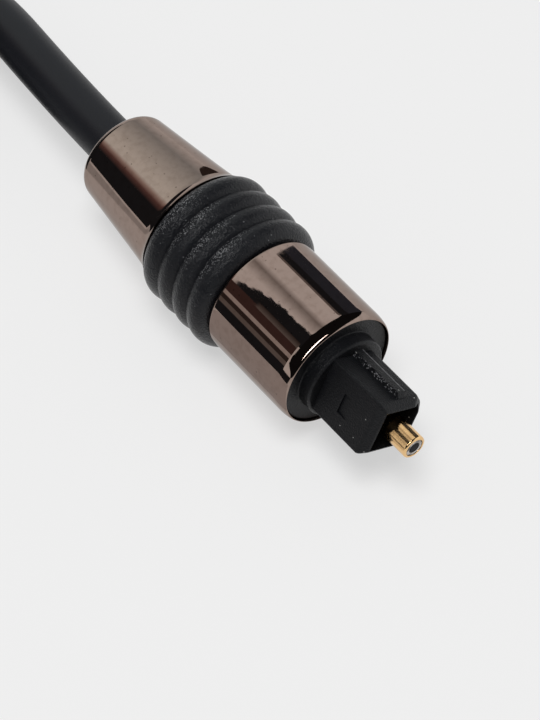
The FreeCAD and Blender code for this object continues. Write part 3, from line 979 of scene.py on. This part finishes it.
# %% [markdown]
# ### Sky and lamp
#
# A large soft lamp stands above, in an even sky. The sky is white where it is seen, but it lights the
# part with less than a third of that, which keeps the lamp's soft shadow.

# %% Sky and lamp
SKY_LIGHT, SKY_SEEN = 0.3, 1.0
world = bpy.data.worlds.new("studio")
scene.world = world
world.use_nodes = True
tree = world.node_tree
background = tree.nodes["Background"]
vary(tree, background.inputs["Strength"], seen_rays(tree), SKY_LIGHT, SKY_SEEN)
background.inputs["Color"].default_value = (1, 1, 1, 1)

lamp = bpy.data.lights.new("softbox", "AREA")
lamp.shape = "SQUARE"
lamp.size = 1.5
lamp.energy = 70
softbox = add_object("softbox", lamp)
softbox.location = (0.4, -0.6, 3.0)
softbox.rotation_euler = (Vector((0, 0, 0)) - softbox.location).to_track_quat("-Z", "Y").to_euler()
softbox.visible_glossy = False
print("lamp", lamp.size, "m wide")

# %% [markdown]
# ### What the metal mirrors
#
# Polished metal shows its surroundings, so its stripes are the things that stand round the table.
# Boards take their place. Each one is a patch of a large sphere round the plug, given by its share
# along the axis and its angles about it, because these decide where a round sleeve mirrors it. It
# fades from a first colour to a last one. Later boards stand nearer and cover earlier ones.

# %% Places and colours of the boards
BLACK, BLUE, BROWN = (0.022, 0.024, 0.028), (0.045, 0.052, 0.07), (0.085, 0.05, 0.046)
BEIGE, GREY, SHADE = (0.6, 0.55, 0.53), (0.22, 0.2, 0.19), (0.055, 0.042, 0.038)
WHITE, CREAM, DULL = (1.0, 1.0, 1.0), (1.07, 1.12, 1.08), (0.5, 0.54, 0.55)
RUST, DARK_RUST, CREASE = (0.6, 0.48, 0.44), (0.2, 0.11, 0.1), (0.4, 0.38, 0.37)
DEEP, BRIGHT = (0.012, 0.012, 0.013), (15.0, 15.0, 15.0)
FRONT_BACK, FRONT_END = -0.36, 0.97
BOARDS = (  # name, shares along the axis, angles about it, first and last colour
    ("side_board", (-0.503, -0.358), (2, 30), BLUE, BLUE),
    ("side_edge_board", (-0.503, -0.358), (30, 43), BLACK, BLACK),
    ("side_rim_board", (-0.503, -0.4), (43, 47), GREY, GREY),
    ("crease_board", (-0.58, -0.36), (74, 84), WHITE, CREASE),
    ("crease_end_board", (-0.58, -0.36), (84, 104), CREASE, WHITE),
    ("brown_board", (-0.58, -0.42), (134, 153), BROWN, BROWN),
    ("beige_board", (-0.58, -0.42), (153, 160), BEIGE, BEIGE),
    ("shade_board", (-0.58, -0.42), (160, 168), SHADE, SHADE),
    ("low_grey_board", (-0.58, -0.42), (168, 176), GREY, GREY),
    ("low_board", (-0.58, -0.42), (176, 184), BLACK, BLACK),
    ("camera_board", (-0.505, -0.36), (106, 134), BLACK, BLACK),
    ("grey_board", (-0.49, -0.42), (128, 138), SHADE, GREY),
    ("rear_side_board", (-0.9, -0.58), (-2, 30), WHITE, DULL),
    ("rear_sky_board", (-0.9, -0.58), (30, 104), DULL, CREAM),
    ("rear_white_board", (-0.9, -0.58), (104, 119), CREAM, CREAM),
    ("rear_beige_board", (-0.93, -0.58), (119, 127), CREAM, RUST),
    ("rear_rust_board", (-0.93, -0.58), (127, 135), RUST, DARK_RUST),
    ("rear_brown_board", (-0.93, -0.58), (135, 147), DARK_RUST, BLACK),
    ("rear_board", (-0.93, -0.58), (147, 184), BLACK, BLACK),
    ("end_board", (-1.0, -0.9), (34, 184), BLACK, BLACK),
    ("front_board", (FRONT_BACK, FRONT_END), (-10, 205), DEEP, DEEP),
    ("front_light", (0.1, 0.22), (86, 146), BRIGHT, BRIGHT),
)

# %% [markdown]
# ### Shapes of the boards
#
# Most boards have straight edges. The front board is a dark frame beside a pale window with round
# corners, and on one side it thins out to a tail. The camera board has a ragged edge, and the front
# light tapers to both ends.

# %% Shapes of the boards
CORNERS, CORNER_WIDTH, CORNER_DEPTH = (45, 106, 153, 168), 9, 0.06
LOW_FROM, LOW_SLOPE, LOW_MOST = 164, 0.024, 1.2
TAIL_FROM, TAIL_SPAN, TAIL_REACH, TAIL_BEND = 66, 64, 1.34, 0.45
RAGGED, SLANT_ANGLE, SLANT_SPAN = 2.5, 24, 5
ROWS, COLUMNS = 160, 48


def window_edge(angle):
    """How far back the front board reaches: a little further beside a dark board, as a round corner."""
    near = min(abs(angle - side) for side in CORNERS)
    inside = max(1 - near / CORNER_WIDTH, 0)
    beyond = max(angle - LOW_FROM, 0)
    corner = CORNER_DEPTH * (1 - math.sqrt(1 - inside ** 2))
    return FRONT_BACK - corner + min(LOW_SLOPE * beyond, LOW_MOST)


def front_edge(angle):
    """How far forward the front board reaches: on the right it thins out to a tail."""
    share = min(max((TAIL_FROM - angle) / TAIL_SPAN, 0), 1)
    return FRONT_END - TAIL_REACH * share ** TAIL_BEND


def board_mesh(name, along, around, distance):
    """A patch of a sphere round the near plug, between shares along +X and angles about its axis."""
    ragged, slant = (RAGGED, SLANT_ANGLE) if name == "camera_board" else (0, 0)
    draw = random.Random(4)
    points = []
    for i in range(ROWS + 1):
        slanted = slant * max(1 - SLANT_SPAN * i / ROWS, 0) ** 2
        first = around[0] + draw.uniform(-ragged, ragged) + slanted
        for j in range(COLUMNS + 1):
            angle = first + (around[1] - first) * j / COLUMNS
            back = window_edge(angle) if name == "front_board" else along[0]
            ahead = front_edge(angle) if name == "front_board" else along[1]
            x = back + (ahead - back) * i / ROWS
            if name == "front_light":
                middle = sum(along) / 2
                x = middle + (x - middle) * math.sin(math.pi * (0.02 + 0.96 * j / COLUMNS))
            ring, turn = math.sqrt(1 - x * x), math.radians(angle)
            way = Vector((x, ring * math.cos(turn), ring * math.sin(turn)))
            points.append(way * distance + Vector((0, 0, AXIS_HEIGHT * MM)))
    corners = [i * (COLUMNS + 1) + j for i in range(ROWS) for j in range(COLUMNS)]
    mesh = bpy.data.meshes.new(name)
    mesh.from_pydata(points, [], [(k, k + 1, k + COLUMNS + 2, k + COLUMNS + 1) for k in corners])
    across = mesh.attributes.new("across", "FLOAT", "POINT")
    across.data.foreach_set("value", [k % (COLUMNS + 1) / COLUMNS for k in range(len(points))])
    return mesh


# %% [markdown]
# ### The boards themselves
#
# A board glows, so that the metal mirrors just the colour typed above. It is hidden from the camera,
# throws no shadow and lights nothing: it shows in reflections only.

# %% Boards that the metal mirrors
BOARD_DISTANCE, BOARD_STEP = 0.5, 0.002


def add_board(name, mesh, first, last):
    """A board that shows in reflections only and glows from one colour to another across itself."""
    shade = bpy.data.materials.new(name)
    shade.use_nodes = True
    tree = shade.node_tree
    tree.nodes.clear()
    across = add_node(tree, "ShaderNodeAttribute", (("attribute_name", "across"),)).outputs["Fac"]
    glow = tree.nodes.new("ShaderNodeEmission")
    tint(tree, glow.inputs["Color"], across, first, last)
    output = tree.nodes.new("ShaderNodeOutputMaterial")
    tree.links.new(glow.outputs["Emission"], output.inputs["Surface"])
    mesh.materials.append(shade)
    board = add_object(name, mesh)
    board.visible_camera = board.visible_diffuse = board.visible_shadow = False


for k, (name, along, around, first, last) in enumerate(BOARDS):
    add_board(name, board_mesh(name, along, around, BOARD_DISTANCE - BOARD_STEP * k), first, last)
print(len(BOARDS), "boards")

# %% [markdown]
# ### Sheets on the table
#
# The lower sides of the sleeves mirror the table, so sheets lie there. A small card stands beside the
# cone.

# %% Sheets and a card that the metal mirrors
FLAT, CARD_X, PALE = 0.2, -35, (0.62, 0.6, 0.6)
SHEETS = (  # name, corners in mm, colour
    ("dark_sheet", ((-420, -260, FLAT), (-96, -86, FLAT), (-20, -43.5, FLAT), (10, -43.5, FLAT),
                    (60, -420, FLAT), (-420, -420, FLAT)), BLACK),
    ("grey_sheet", ((-22, -43, FLAT), (-4, -8, FLAT), (16, -8, FLAT), (16, -43, FLAT)), PALE),
    ("rear_sheet", ((-36, -4, FLAT), (-36, -13, FLAT), (-70, -38, FLAT), (-190, -135, FLAT),
                    (-420, -290, FLAT), (-420, -4, FLAT)), BLACK),
    ("small_card", ((CARD_X, 27.7, 17.4), (CARD_X, 23.5, 25.4), (CARD_X, 29, 29), (CARD_X, 39, 17),
                    (CARD_X, 38.5, 5), (CARD_X, 32.3, 5.6)), SHADE),
)
for name, corners, color in SHEETS:
    mesh = bpy.data.meshes.new(name)
    mesh.from_pydata([Vector(corner) * MM for corner in corners], [], [range(len(corners))])
    add_board(name, mesh, color, color)
print(len(SHEETS), "sheets")

# %% [markdown]
# ### Camera
#
# The camera's place, bearing and long lens were fitted to the photo by the plug's outline.

# %% Camera
CAMERA_MM = Vector((144.4406, -110.7172, 230.3217))
ELEVATION, BEARING = math.radians(52.02), math.radians(-37.72)
towards = -Vector((
    math.cos(ELEVATION) * math.cos(BEARING),
    math.cos(ELEVATION) * math.sin(BEARING),
    math.sin(ELEVATION),
))
lens = bpy.data.cameras.new("camera")
lens.lens = 150
lens.sensor_width = 36
camera = add_object("camera", lens)
camera.location = CAMERA_MM * MM
camera.rotation_euler = towards.to_track_quat("-Z", "Y").to_euler()
scene.camera = camera
scene.view_settings.view_transform = "Standard"
print("camera at", tuple(round(v, 3) for v in camera.location))
